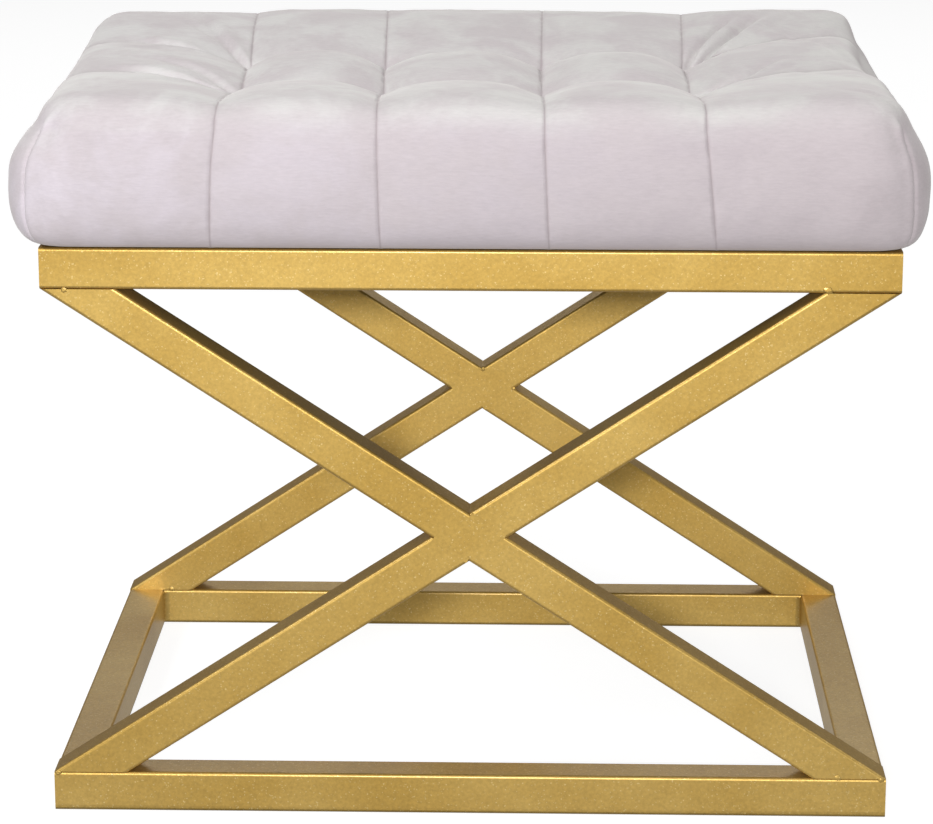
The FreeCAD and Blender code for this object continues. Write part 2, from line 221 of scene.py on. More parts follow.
@dataclass(frozen=True)
class GoldPaint(Coating):
    """Sprayed gold paint with bronze flakes, as on cheap steel furniture."""

    title: str = "gold_spray_paint"
    # The flakes lie flat in the binder, so the coat mirrors softly and keeps its warm tint at every angle.
    colour: str = "#C3A35A"
    deep_colour: str = "#B69449"
    flake_colour: str = "#F6E3AA"
    cloud_size: float = 90 * MM
    # Real flakes are 0.05 mm. They are drawn as 0.7 mm clusters, the size of one pixel of the render.
    flake_size: float = 0.7 * MM
    # Where the flakes pile up the coat looks grainy, with clusters 2 mm apart.
    grain_size: float = 2.0 * MM
    # Dried spray leaves a skin like orange peel, 3 mm from dimple to dimple.
    peel_size: float = 3.0 * MM
    peel_depth: float = 0.06 * MM
    flake_tilt: float = 0.02 * MM
    roughness: float = 0.5
    grit: float = 0.06
    # The binder over the flakes is clear lacquer.
    lacquer: float = 0.35
    lacquer_roughness: float = 0.22

    def surface(self, add: NodeAdder) -> dict:
        """Adds the cloudy paint, its flakes and its skin."""
        where = add("TexCoord").outputs["Object"]
        cloud = add("TexNoise", feeds={
            "Vector": where, "Scale": 1 / self.cloud_size, "Detail": 3.0, "Roughness": 0.6})
        tone = add("MapRange", feeds={"Value": cloud, "From Min": 0.35, "From Max": 0.65})
        coat = add("Mix", RGBA, {0: tone, 6: self.deep_colour, 7: self.colour})
        grain = add("TexNoise", feeds={
            "Vector": where, "Scale": 1 / self.grain_size, "Detail": 2.0, "Roughness": 0.7})
        grained = add("MapRange", feeds={
            "Value": grain, "From Min": 0.3, "From Max": 0.7, "To Min": 0.9, "To Max": 1.1})
        coat = add("Mix", TINT, {0: 1.0, 6: coat, 7: grained})
        flakes = add("TexVoronoi", feeds={"Vector": where, "Scale": 1 / self.flake_size})
        chance = add("SeparateColor", feeds={0: flakes.outputs["Color"]})
        bright = add("MapRange", feeds={
            "Value": chance.outputs[0], "From Min": 0.955, "From Max": 1.0, "To Max": 0.4})
        speckled = add("Mix", RGBA, {0: bright, 6: coat, 7: self.flake_colour})
        grit = add("MapRange", feeds={
            "Value": chance.outputs[1], "To Min": self.roughness - self.grit, "To Max": self.roughness + self.grit})
        peel = add("TexNoise", feeds={"Vector": where, "Scale": 1 / self.peel_size, "Detail": 1.0})
        skin = add("Bump", feeds={"Height": peel, "Strength": 0.35, "Distance": self.peel_depth})
        tilt = add("Bump", feeds={
            "Height": chance.outputs[2], "Strength": 0.25, "Distance": self.flake_tilt, "Normal": skin})
        return {
            "Base Color": speckled, "Metallic": 0.9, "Roughness": grit, "Coat Weight": self.lacquer,
            "Coat Roughness": self.lacquer_roughness, "Normal": tilt}


@dataclass(frozen=True)
class ZincPlate(Coating):
    """Bright zinc on steel bolts, nuts and staples."""

    title: str = "bright_zinc_plate"
    # Electroplated zinc is pale grey with faint cloudy patches where the bath ran unevenly.
    colour: str = "#C3C6CB"
    cloudy_colour: str = "#A7ABB2"
    patch_size: float = 2.5 * MM
    roughness: Pair = (0.32 - 0.08, 0.32 + 0.1)

    def surface(self, add: NodeAdder) -> dict:
        """Adds the patchy plating."""
        where = add("TexCoord").outputs["Object"]
        patch = add("TexNoise", feeds={"Vector": where, "Scale": 1 / self.patch_size, "Detail": 3.0})
        tone = add("Mix", RGBA, {0: patch, 6: self.cloudy_colour, 7: self.colour})
        smooth, worn = self.roughness
        wear = add("MapRange", feeds={"Value": patch, "To Min": smooth, "To Max": worn})
        return {"Base Color": tone, "Metallic": 1.0, "Roughness": wear}


@dataclass(frozen=True)
class Plywood(Coating):
    """Raw birch plywood."""

    title: str = "birch_plywood"
    # Rotary cut birch is pale, with long soft figure along the board and pores that look like short hairs.
    colour: str = "#D8BD92"
    late_colour: str = "#C09D6B"
    figure_width: float = 18 * MM
    figure_stretch: float = 0.12
    pore_width: float = 0.9 * MM
    pore_depth: float = 0.1 * MM
    roughness: float = 0.62

    def surface(self, add: NodeAdder) -> dict:
        """Adds the wood's figure and pores."""
        where = add("TexCoord").outputs["Object"]
        along = add("Mapping", feeds={"Vector": where, "Scale": (self.figure_stretch, 1.0, 1.0)})
        figure = add("TexNoise", feeds={
            "Vector": along, "Scale": 1 / self.figure_width, "Detail": 4.0, "Distortion": 0.6})
        pores = add("TexNoise", feeds={"Vector": along, "Scale": 1 / self.pore_width, "Detail": 1.0})
        both = add("Math", {"operation": "MULTIPLY"}, {0: figure, 1: pores})
        tone = add("MapRange", feeds={"Value": both, "From Min": 0.12, "From Max": 0.4})
        wood = add("Mix", RGBA, {0: tone, 6: self.late_colour, 7: self.colour})
        grain = add("Bump", feeds={"Height": pores, "Strength": 0.3, "Distance": self.pore_depth})
        return {
            "Base Color": wood, "Roughness": self.roughness, "Normal": grain}


@dataclass(frozen=True)
class FoamRubber(Coating):
    """Cut polyurethane foam."""

    title: str = "cut_foam"
    # A saw leaves open cells, so the face is matt and pitted, cream with a little yellow from the air.
    colour: str = "#EDE3C0"
    pit_shade_colour: str = "#D2C190"
    cell_size: float = 1.2 * MM
    cell_depth: float = 0.4 * MM
    roughness: float = 0.95

    def surface(self, add: NodeAdder) -> dict:
        """Adds the foam's open cells."""
        where = add("TexCoord").outputs["Object"]
        cells = add("TexVoronoi", feeds={"Vector": where, "Scale": 1 / self.cell_size})
        # Painted shade: the open cells are darker and yellower in their pits.
        tone = add("Mix", RGBA, {0: cells, 6: self.pit_shade_colour, 7: self.colour})
        pits = add("Bump", feeds={"Height": cells, "Strength": 0.6, "Distance": self.cell_depth})
        return {
            "Base Color": tone, "Roughness": self.roughness, "Normal": pits}


@dataclass(frozen=True)
class LiningCloth(Coating):
    """Black spunbonded dust lining."""

    title: str = "spunbonded_lining"
    # Bonding points in a grid, 1.6 mm apart, are painted lighter, as a slight sheen against the matt fibres between
    # them.
    colour: str = "#232326"
    bond_sheen_colour: str = "#37373C"
    bond_pitch: float = 1.6 * MM
    bond_depth: float = 0.1 * MM
    # Fibres to the metre
    fibres: float = 900.0
    roughness: float = 0.8

    def surface(self, add: NodeAdder) -> dict:
        """Adds the lining's fibres and bonding points."""
        where = add("TexCoord").outputs["Object"]
        bonds = add("TexVoronoi", {"distance": "CHEBYCHEV"}, {
            "Vector": where, "Scale": 1 / self.bond_pitch, "Randomness": 0.0})
        dot = add("MapRange", feeds={
            "Value": bonds, "From Min": 0.18, "From Max": 0.26, "To Min": 1.0, "To Max": 0.0})
        fibres = add("TexNoise", feeds={"Vector": where, "Scale": self.fibres, "Detail": 3.0})
        mixed = add("Math", {"operation": "MULTIPLY"}, {0: dot, 1: fibres})
        # Painted sheen: the bonding points are lighter.
        tone = add("Mix", RGBA, {0: mixed, 6: self.colour, 7: self.bond_sheen_colour})
        dimple = add("Bump", {"invert": True}, {
            "Height": dot, "Strength": 0.5, "Distance": self.bond_depth})
        return {
            "Base Color": tone, "Roughness": self.roughness, "Sheen Weight": 0.15, "Normal": dimple}


@dataclass(frozen=True)
class CottonTape(Coating):
    """Unbleached cotton tape in a herringbone weave."""

    title: str = "woven_cotton_tape"
    # Yarns 0.5 mm apart lean over, so the tape shows fine slanting ribs.
    colour: str = "#E6DDC8"
    shade_colour: str = "#C8BB9C"
    yarn_pitch: float = 0.5 * MM
    yarn_turn: Triple = (0.6, 0.6, 0.785)
    yarn_depth: float = 0.1 * MM
    # A wave texture of scale one has a ripple every 0.314 units.
    wave_length: float = 0.314
    roughness: float = 0.9

    def surface(self, add: NodeAdder) -> dict:
        """Adds the tape's slanting ribs."""
        where = add("TexCoord").outputs["Object"]
        turned = add("Mapping", feeds={"Vector": where, "Rotation": self.yarn_turn})
        ribs = add("TexWave", feeds={
            "Vector": turned, "Scale": self.wave_length / self.yarn_pitch, "Distortion": 0.4}).outputs["Fac"]
        # Painted shade: the ribs' valleys are darker.
        tone = add("Mix", RGBA, {0: ribs, 6: self.shade_colour, 7: self.colour})
        relief = add("Bump", feeds={"Height": ribs, "Strength": 0.5, "Distance": self.yarn_depth})
        return {
            "Base Color": tone, "Roughness": self.roughness, "Normal": relief}


@dataclass(frozen=True)
class Velvet(Coating):
    """Pale lilac grey polyester velvet."""

    title: str = "polyester_velvet"
    # The cover is painted darker towards the right, as shade away from the light on the left, and its top is painted
    # lighter and greyer, as sheen. In patches that hands have stroked the pile leans away and looks pinker and
    # darker.
    colour: str = "#C9C1C8"
    stroked_colour: str = "#BAB1B4"
    right_shade_colour: str = "#A89EA0"
    top_sheen_colour: str = "#CFCFCB"
    seam_and_crease_shade_colour: str = "#A1979A"
    half_width: float = 270 * MM
    patch_size: float = 48 * MM
    # The pile's tufts are 0.3 mm apart, in rows. They are drawn as streaks of 1.2 by 6 mm, which just show.
    pile_pitch: float = 1.2 * MM
    pile_stretch: Triple = (0.2, 0.6, 1.0)
    pile_depth: float = 0.25 * MM
    roughness: float = 0.85
    sheen: float = 0.26
    sheen_roughness: float = 0.45
    sheen_colour: str = "#FFFDF8"

    def surface(self, add: NodeAdder) -> dict:
        """Adds the velvet's painted shade to the right, its painted sheen on the top, its stroked patches and its
        pile. They read the cover's seam attribute, which holds the seams and the creases' painted shade.
        """
        where = add("TexCoord").outputs["Object"]
        patches = add("TexNoise", feeds={
            "Vector": where, "Scale": 1 / self.patch_size, "Detail": 4.0, "Roughness": 0.62, "Distortion": 0.4})
        stroked = add("MapRange", EASED, {
            "Value": patches, "From Min": 0.34, "From Max": 0.64, "To Max": 0.75})
        place = add("SeparateXYZ", feeds={0: where})
        # Painted shade: the colour darkens from left to right across the cover.
        lean = add("MapRange", feeds={
            "Value": place, "From Min": -self.half_width, "From Max": self.half_width, "To Max": 0.85})
        right_shaded = add("Mix", RGBA, {0: lean, 6: self.colour, 7: self.right_shade_colour})
        # Painted sheen: faces that look up are lighter and greyer.
        facing = add("SeparateXYZ", feeds={0: add("NewGeometry").outputs["Normal"]})
        top_sheen_share = add("MapRange", EASED, {
            "Value": facing.outputs["Z"], "From Min": 0.25, "From Max": 0.9, "To Max": 0.7})
        top_sheened = add("Mix", RGBA, {0: top_sheen_share, 6: right_shaded, 7: self.top_sheen_colour})
        tinted = add("Mix", RGBA, {0: stroked, 6: top_sheened, 7: self.stroked_colour})
        rows = add("Mapping", feeds={"Vector": where, "Scale": self.pile_stretch})
        pile = add("TexNoise", feeds={
            "Vector": rows, "Scale": 1 / self.pile_pitch, "Detail": 3.0, "Roughness": 0.7})
        streak = add("MapRange", feeds={
            "Value": pile, "From Min": 0.3, "From Max": 0.7, "To Min": 0.95, "To Max": 1.05})
        combed = add("Mix", TINT, {0: 1.0, 6: tinted, 7: streak})
        # The seam attribute darkens the seam lines, and holds the painted shade in the creases between the tufts.
        seam = add("Attribute", {"attribute_name": "seam"}).outputs["Fac"]
        sewn_and_crease_shaded = add("Mix", RGBA, {0: seam, 6: combed, 7: self.seam_and_crease_shade_colour})
        fuzz = add("Bump", feeds={"Height": pile, "Strength": 0.3, "Distance": self.pile_depth})
        return {
            "Base Color": sewn_and_crease_shaded, "Roughness": self.roughness, "Sheen Weight": self.sheen,
            "Sheen Roughness": self.sheen_roughness, "Sheen Tint": self.sheen_colour,
            "Specular IOR Level": 0.2, "Normal": fuzz}


@dataclass(frozen=True)
class StudioPaper(Coating):
    """White background paper, with a glow that keeps it white."""

    title: str = "white_paper"
    colour: str = "#8C8C8C"
    glow_colour: str = "#FFFFFF"
    glow: float = 0.86

    def surface(self, add: NodeAdder) -> dict:
        """Adds the matt, glowing paper."""
        return {
            "Base Color": self.colour, "Roughness": 0.9, "Specular IOR Level": 0.0,
            "Emission Color": self.glow_colour, "Emission Strength": self.glow}


@dataclass(frozen=True)
class StudioFlag(Coating):
    """Dark card that only shiny faces see."""

    title: str = "dark_card"
    shader: str = "Emission"
    colour: str = "#5C4C48"

    def surface(self, add: NodeAdder) -> dict:
        """Adds the card's even tone."""
        return {"Color": self.colour, "Strength": 1.0}


@dataclass
class Softbox:
    """One soft light: where it is, how large and how strong, and what it is turned to."""

    name: str
    place: Triple
    size: Pair
    power: float
    aim: Triple = (0.0, 0.0, 0.25)
    colour: str = "#FFFFFF"


@dataclass
class Studio:
    """The plain white studio and the camera at the photograph's angle. Sizes are in metres."""

    floor_half: float = 16.0
    floor_drop: float = 0.2 * MM
    sky_colour: str = "#FFFFFF"
    sky_strength: float = 0.24
    lens: float = 129.4
    sensor_width: float = 36.0
    far_clip: float = 60.0
    camera_place: Triple = (0.04706, -2.14104, 0.74168)
    camera_gaze: Triple = (-0.02436, 0.96957, -0.24359)
    camera_roll: float = math.radians(0.03)
    flag_place: Triple = (0.0, 3.2, 0.3)
    flag_size: Pair = (7.0, 0.6)
    softboxes: tuple[Softbox, ...] = (
        Softbox("front_light", (-0.13, -3.2, 1.09), (0.35, 0.2), 80.0),
        Softbox("key_light", (-1.9, -1.3, 2.3), (0.9, 0.9), 36.0),
        Softbox("top_light", (0.2, 0.0, 2.9), (1.6, 1.2), 12.0),
        Softbox("back_light", (0.0, 3.4, 1.55), (3.0, 0.7), 9.0),
        Softbox("fill_light", (2.6, -0.2, 1.3), (1.2, 1.2), 15.0),
        Softbox("floor_bounce", (0.0, -0.35, 0.002), (1.8, 1.3), 1.8, (0.0, -0.35, 1.0)),
    )

    def staged(self, bm: Mesh, name: str, finish: Coating, hidden: Sequence[str]) -> None:
        """Stages a flat piece of the studio.

        Args:
            bm: its mesh.
            name: its name.
            finish: its finish.
            hidden: the object's ray settings that are turned off.
        """
        piece = finished(bm, name, finish.material(), smooth=False)
        for setting in hidden:
            setattr(piece, setting, False)

    def floor(self) -> None:
        """Lays the paper under the stool."""
        bm = bmesh.new()
        bmesh.ops.create_grid(bm, x_segments=1, y_segments=1, size=self.floor_half)
        bmesh.ops.translate(bm, verts=bm.verts, vec=(0.0, 0.0, -self.floor_drop))
        self.staged(bm, "studio_floor", StudioPaper(), ("visible_diffuse", "visible_glossy"))

    def flag(self) -> None:
        """Stands a dark card behind the stool, out of sight, for the dark lines along the braces."""
        bm = bmesh.new()
        bmesh.ops.create_grid(bm, x_segments=1, y_segments=1, size=0.5)
        bmesh.ops.scale(bm, verts=bm.verts, vec=(*self.flag_size, 1.0))
        bmesh.ops.rotate(bm, verts=bm.verts, matrix=Matrix.Rotation(math.pi / 2, 3, "X"))
        bmesh.ops.translate(bm, verts=bm.verts, vec=self.flag_place)
        self.staged(bm, "studio_card", StudioFlag(), ("visible_camera", "visible_diffuse", "visible_shadow"))

    def lights(self) -> None:
        """Hangs the soft lights and sets the pale surroundings."""
        for box in self.softboxes:
            data = bpy.data.lights.new(box.name, "AREA")
            data.shape = "RECTANGLE"
            data.size, data.size_y = box.size
            data.energy = box.power
            data.color = linear(box.colour)[:3]
            lamp = bpy.data.objects.new(box.name, data)
            bpy.context.scene.collection.objects.link(lamp)
            lamp.location = box.place
            lamp.visible_camera = False
            gaze = Vector(box.aim) - Vector(box.place)
            lamp.rotation_euler = gaze.to_track_quat("-Z", "Y").to_euler()
        world = bpy.data.worlds.new("studio_air")
        world.use_nodes = True
        world.node_tree.nodes.clear()
        air = add_node(world.node_tree, "Background", feeds={
            "Color": self.sky_colour, "Strength": self.sky_strength})
        add_node(world.node_tree, "OutputWorld", feeds={"Surface": air})
        bpy.context.scene.world = world

    def camera(self) -> None:
        """Sets up the camera, fitted to the straight edges of the frame in the photograph."""
        data = bpy.data.cameras.new("camera")
        data.lens = self.lens
        data.sensor_width = self.sensor_width
        data.clip_end = self.far_clip
        eye = bpy.data.objects.new("camera", data)
        bpy.context.scene.collection.objects.link(eye)
        eye.location = self.camera_place
        turn = Vector(self.camera_gaze).to_track_quat("-Z", "Y").to_matrix()
        eye.rotation_euler = (turn @ Matrix.Rotation(self.camera_roll, 3, "Z")).to_euler()
        bpy.context.scene.camera = eye

    def build(self) -> None:
        """Makes the whole studio."""
        self.floor()
        self.flag()
        self.lights()
        self.camera()
        bpy.context.scene.view_settings.view_transform = "Standard"
        log.info("studio: floor, card, %d lights and the camera", len(self.softboxes))


class Finish(Enum):
    """The CAD nodes' material slots and the real finish that each one gets."""

    GOLD_PAINT = GoldPaint()
    ZINC_STEEL = ZincPlate()
    PLYWOOD = Plywood()
    FOAM = FoamRubber()
    LINING_CLOTH = LiningCloth()
    TAPE = CottonTape()
    VELVET = Velvet()


@dataclass
class Palette:
    """One material for each finish, made once."""

    made: dict[Finish, bpy.types.Material] = field(default_factory=dict)

    def of(self, finish: Finish) -> bpy.types.Material:
        """Gives the finish's material."""
        if finish not in self.made:
            self.made[finish] = finish.value.material()
        return self.made[finish]

    def dress_nodes(self) -> None:
        """Gives every CAD node the material of its slot."""
        for name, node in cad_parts.items():
            for number, material in enumerate(node.data.materials):
                slot = material.name.split(".")[0].upper()
                node.data.materials[number] = self.of(Finish[slot])
            log.info("%s: dressed", name)



@dataclass(frozen=True)
class Fold:
    """A fold in the velvet: its path over the top in millimetres, its depth, half width and the lift beside it."""

    path: tuple[Pair, ...]
    depth: float
    width: float
    lift: float
    # It fades in over the first share of its path and out from the last one on, and widens on the way.
    fade_in: Pair = (-0.04, 0.08)
    fade_out: Pair = (0.5, 1.0)
    widths: Pair = (0.55, 1.45)

    def shift(self, x: float, y: float) -> float:
        """Tells how far the fold moves the cloth outwards at a place.

        Args:
            x: the place, in millimetres.
            y: the place, in millimetres.

        Returns:
            The move along the cloth's normal, in millimetres, below zero in the fold.
        """
        reach = 4 * self.width
        total = sum(math.dist(a, b) for a, b in zip(self.path, self.path[1:]))
        best, gap, place, run = reach, reach, 0.0, 0.0
        for (ax, ay), (bx, by) in zip(self.path, self.path[1:]):
            length = math.dist((ax, ay), (bx, by))
            dx, dy = (bx - ax) / length, (by - ay) / length
            along = min(max((x - ax) * dx + (y - ay) * dy, 0.0), length)
            off = math.dist((x, y), (ax + dx * along, ay + dy * along))
            if off < best:
                side = (x - ax) * dy - (y - ay) * dx
                best, gap, place = off, math.copysign(off, side), (run + along) / total
            run += length
        if best >= reach:
            return 0.0
        fade = smooth_step(*self.fade_in, place) * (1 - smooth_step(*self.fade_out, place))
        wide = self.width * blend(*self.widths, place)
        dip = -self.depth * math.exp(-abs(gap / wide) ** 1.5)
        return fade * (dip + self.lift * bell(gap, 2.0 * wide, 1.3 * wide))


@dataclass(frozen=True)
class Spot:
    """A place in the cover's grid: its column and row, and its shares of their width and depth."""

    column: int
    fx: float
    row: int
    fy: float


@dataclass
class QuiltedCover:
    """The velvet cover with its wadding: five sewn columns, pulled down at eight blind tufts.

    A grid follows the seams, creases and edges, so each of them is a line of the mesh. It is shaped to the quilt,
    settled as cloth along its seams, divided once, folded, and closed round the board and the foam.
    Sizes are in millimetres, rises are above the lining, and pairs of shares go from where a change sets in to
    where it is complete.
    """

    base_level: float = 353.8
    half_width: float = 255.0
    half_depth: float = 202.5
    # Seams, from left to right, where they cross the front edge, both rows of tufts and the back edge
    seam_stations: Row = (-212.0, -65.0, 62.0, 212.0)
    seams: tuple[Row, ...] = (
        (-149.5, -146.5, -151.0, -158.0),
        (-54.0, -57.0, -62.0, -67.0),
        (44.0, 41.5, 41.0, 41.0),
        (138.5, 134.5, 134.5, 138.0),
    )
    seam_feet: Row = (-152.0, -52.0, 47.0, 145.0)
    # Rows of tufts, where they cross the left edge, the four seams and the right edge
    creases: tuple[Row, ...] = (
        (-54.0, -65.0, -65.0, -65.0, -65.0, -22.0),
        (88.0, 62.0, 62.0, 62.0, 62.0, 140.0),
    )
    # Sides: how far they bulge past the frame, and how far their crown draws in above that
    bulge: float = 16.0
    bulge_rise: float = 32.0
    draw_in: float = 38.0
    crown_rise: float = 98.0
    base_power: float = 2.5
    crown_powers: Pair = (2.0, 2.5)
    square_edge: float = 9.0
    square_shares: Pair = (0.1, 0.8)
    shoulder_rise: float = 70.0
    # Corners in plan: at the foot, and above it at the front and the back
    base_corner: float = 18.0
    corners: Pair = (26.0, 17.0)
    corner_change: Pair = (-60.0, 60.0)
    # The front and the back puff out in each column, less in the outer ones
    front_puff: float = 2.6
    outer_puff: float = 0.6
    face_shares: Pair = (0.45, 1.0)
    # Each side swells past the front, and its crown leans in and out from front to back
    side_swells: Pair = (4.5, 1.5)
    lean_rises: Pair = (46.0, 84.0)
    lean_stations: Row = (-190.0, -144.0, -100.0, -60.0, 0.0, 50.0, 90.0, 150.0, 190.0)
    leans: tuple[Row, ...] = (
        (16.0, 14.0, 11.0, 8.5, 7.5, 4.0, -1.0, -3.0, 1.5),
        (7.0, 8.0, 9.0, 9.0, 20.0, 20.0, 17.0, 12.0, 9.0),
    )
    # Top
    tuft_rises: Pair = (67.0, 65.0)
    crease_rise: float = 76.0
    side_crease_rise: float = 82.0
    side_crease_share: float = 0.5
    middle_seam_rise: float = 75.0
    middle_crest_rise: float = 88.0
    rim_seam_rise: float = 85.0
    back_seam_rises: Row = (87.5, 90.5, 91.0, 87.5)
    front_crest_rise: float = 92.5
    back_crest_rises: Row = (88.5, 91.5, 91.5, 90.0, 92.0)
    rim_crest_place: float = 0.72
    outer_crest_place: float = 0.55
    seam_powers: Pair = (0.9, 0.65)
    crest_power: float = 0.8
    puff_power: float = 2.3
    edge_blends: Pair = (20.0, 9.0)
    # Mesh
    step: float = 5.0
    seam_offsets: Row = (0.8, 2.2, 5.0)
    crease_offsets: Row = (1.6, 4.2)
    edge_offsets: Row = (1.3, 3.2, 5.8, 9.2)
    side_rises: Row = (
        65.0, 60.0, 55.0, 50.0, 45.0, 40.0, 35.0, 30.0, 25.0, 20.5, 16.0, 12.0, 8.4, 5.2, 2.6, 0.8, 0.0)
    # The seams' own colour: its half width, and the painted shade in the creases between the tufts: how dark and how
    # wide
    seam_line: Pair = (0.1, 1.0)
    crease_shade: float = 0.5
    crease_width: float = 2.2
    # Cloth
    cloth: tuple[tuple[str, float], ...] = (
        ("quality", 5), ("mass", 0.25), ("tension_stiffness", 18.0), ("compression_stiffness", 18.0),
        ("shear_stiffness", 6.0), ("bending_stiffness", 0.4), ("use_pressure", True),
        ("uniform_pressure_force", 4.0), ("shrink_min", -0.03),
    )
    frames: int = 20
    cap: float = 7.0
    # Pleats at the corners, by the angle from the side face round a centre inside the corner
    pleat_centre: float = 12.0
    pleat_angle: float = 41.0
    pleat_top: float = 76.0
    pleat_fade: Pair = (-10.0, 2.0)
    pleat_groove: Pair = (1.6, 1.2)
    pleat_lip: Triple = (1.0, 4.5, 3.0)
    pleat_nub: float = 1.6
    pleat_nub_rise: Pair = (-4.0, 5.0)
    pleat_nub_place: Pair = (3.0, 4.0)
    # Relief, as depth and width: the tufts' pits, the stitching in the seams, and the puckers beside it
    pit: Pair = (3.0, 9.0)
    pit_reach: float = 40.0
    stitch: Pair = (0.8, 1.1)
    pucker: Pair = (0.8, 7.0)
    pucker_sizes: Triple = (40.0, 7.0, 7.0)
    pucker_start: float = 3.0
    # Slow waves in the cloth: height, length and a shift that sets them apart
    waves: tuple[Triple, ...] = ((0.7, 34.0, 0.0), (0.28, 13.0, 9.0))
    # Where relief sets in: folds and pits on the top alone, the rest from the foot up
    fold_rise: float = 55.0
    pit_rise: float = 50.0
    calm_rise: float = 12.0
    # The inner skin round the board and the foam: half width, half depth and level of each ring
    inner_rings: tuple[Triple, ...] = (
        (220.0, 167.5, 353.8), (220.0, 167.5, 355.25), (250.05, 197.55, 355.25), (250.05, 197.55, 367.25),
        (256.05, 203.55, 367.25), (256.05, 203.55, 402.3), (246.05, 193.55, 412.35),
    )
    folds: tuple[Fold, ...] = (
        Fold(((-148, -66), (-178, -62), (-211, -50), (-245, -50)), 4.2, 4.0, 1.2),
        Fold(((-152, 60), (-175, 56), (-194, 70), (-227, 88), (-250, 90)), 4.2, 4.0, 1.2),
        Fold(((-154, 66), (-166, 91), (-176, 112), (-192, 157), (-204, 190)), 3.2, 3.4, 1.4),
        Fold(((-158, 70), (-184, 118), (-197, 140), (-222, 166)), 2.2, 3.2, 0.8),
        Fold(((-150, -60), (-176, -36), (-205, -16), (-235, -6)), 2.4, 4.0, 0.8),
        Fold(((-152, 54), (-176, 36), (-205, 30), (-240, 34)), 2.0, 4.0, 0.7),
        Fold(((-150, -70), (-178, -100), (-206, -128), (-232, -142)), 1.2, 5.0, 0.3),
        Fold(((136, -64), (159, -55), (173, -35), (188, -11), (205, 8)), 4.6, 3.8, 1.6),
        Fold(((138, 64), (150, 80), (167, 112), (185, 155), (200, 194)), 5.6, 4.6, 2.6),
        Fold(((136, 68), (143, 92), (153, 118), (165, 150), (178, 186)), 4.6, 3.4, 1.8),
        Fold(((140, 60), (172, 66), (200, 84), (232, 120)), 1.8, 4.5, 0.6),
        Fold(((206, 118), (225, 64), (238, 4), (244, -60)), 1.6, 5.0, 0.6),
        Fold(((140, -60), (197, -30), (222, -80), (240, -150)), 1.0, 7.0, 0.3),
        Fold(((252, -190), (238, -178), (215, -163)), 1.6, 2.6, 0.6),
    )

    def marks(self, widths: Sequence[float], offsets: Sequence[float]) -> list[tuple[int, float]]:
        """Lays out the mesh's lines across one direction, closer together beside seams and edges.

        Args:
            widths: the widths of the columns or rows.
            offsets: how far the first lines stand from a seam.

        Returns:
            For each line the column or row that it is in, and its share of that one's width.
        """
        lines = []
        for number, width in enumerate(widths):
            first = self.edge_offsets if number == 0 else offsets
            last = self.edge_offsets if number == len(widths) - 1 else offsets
            low, high = first[-1], width - last[-1]
            count = round((high - low) / self.step)
            places = [0.0, *first]
            places += [low + (high - low) * i / count for i in range(1, count)]
            places += [width - offset for offset in reversed(last)]
            lines += [(number, place / width) for place in places]
        lines.append((len(widths) - 1, 1.0))
        return lines

    def offset(self, rise: float) -> float:
        """Tells how far the side stands out from the frame at a rise."""
        if rise < self.bulge_rise:
            share = 1 - rise / self.bulge_rise
            return self.bulge * (1 - share ** self.base_power) ** (1 / self.base_power)
        share = min((rise - self.bulge_rise) / (self.crown_rise - self.bulge_rise), 1.0)
        return self.bulge - self.draw_in * (1 - math.sqrt(1 - share * share))

    def rim_rise(self, stand: float, back: float) -> float:
        """Tells how high the side's profile is above its bulge.

        Args:
            stand: how far the place stands out from the frame.
            back: zero at the front and one at the back, where the edge is squarer.

        Returns:
            The rise above the lining.
        """
        shoulder = self.offset(self.shoulder_rise)
        flat = min(max(1 - (self.bulge - stand) / self.draw_in, 0.0), 1.0)
        power = blend(*self.crown_powers, back * smooth_step(shoulder, shoulder - self.square_edge, stand))
        return self.bulge_rise + (self.crown_rise - self.bulge_rise) * (1 - flat ** power) ** (1 / power)

    def puff(self, share: float) -> float:
        """Gives the swell across a column, from zero at its seams to one in its middle."""
        return 1 - abs(2 * share - 1) ** self.puff_power

    def seam_at(self, number: int, y: float, rise: float) -> float:
        """Tells where a seam is across the width.

        Args:
            number: the seam, from the left.
            y: the place from front to back.
            rise: the height above the lining.

        Returns:
            The seam's x.
        """
        x = through(self.seam_stations, self.seams[number], y)
        if rise >= self.shoulder_rise:
            return x
        return blend(self.seam_feet[number], x, rise / self.shoulder_rise)

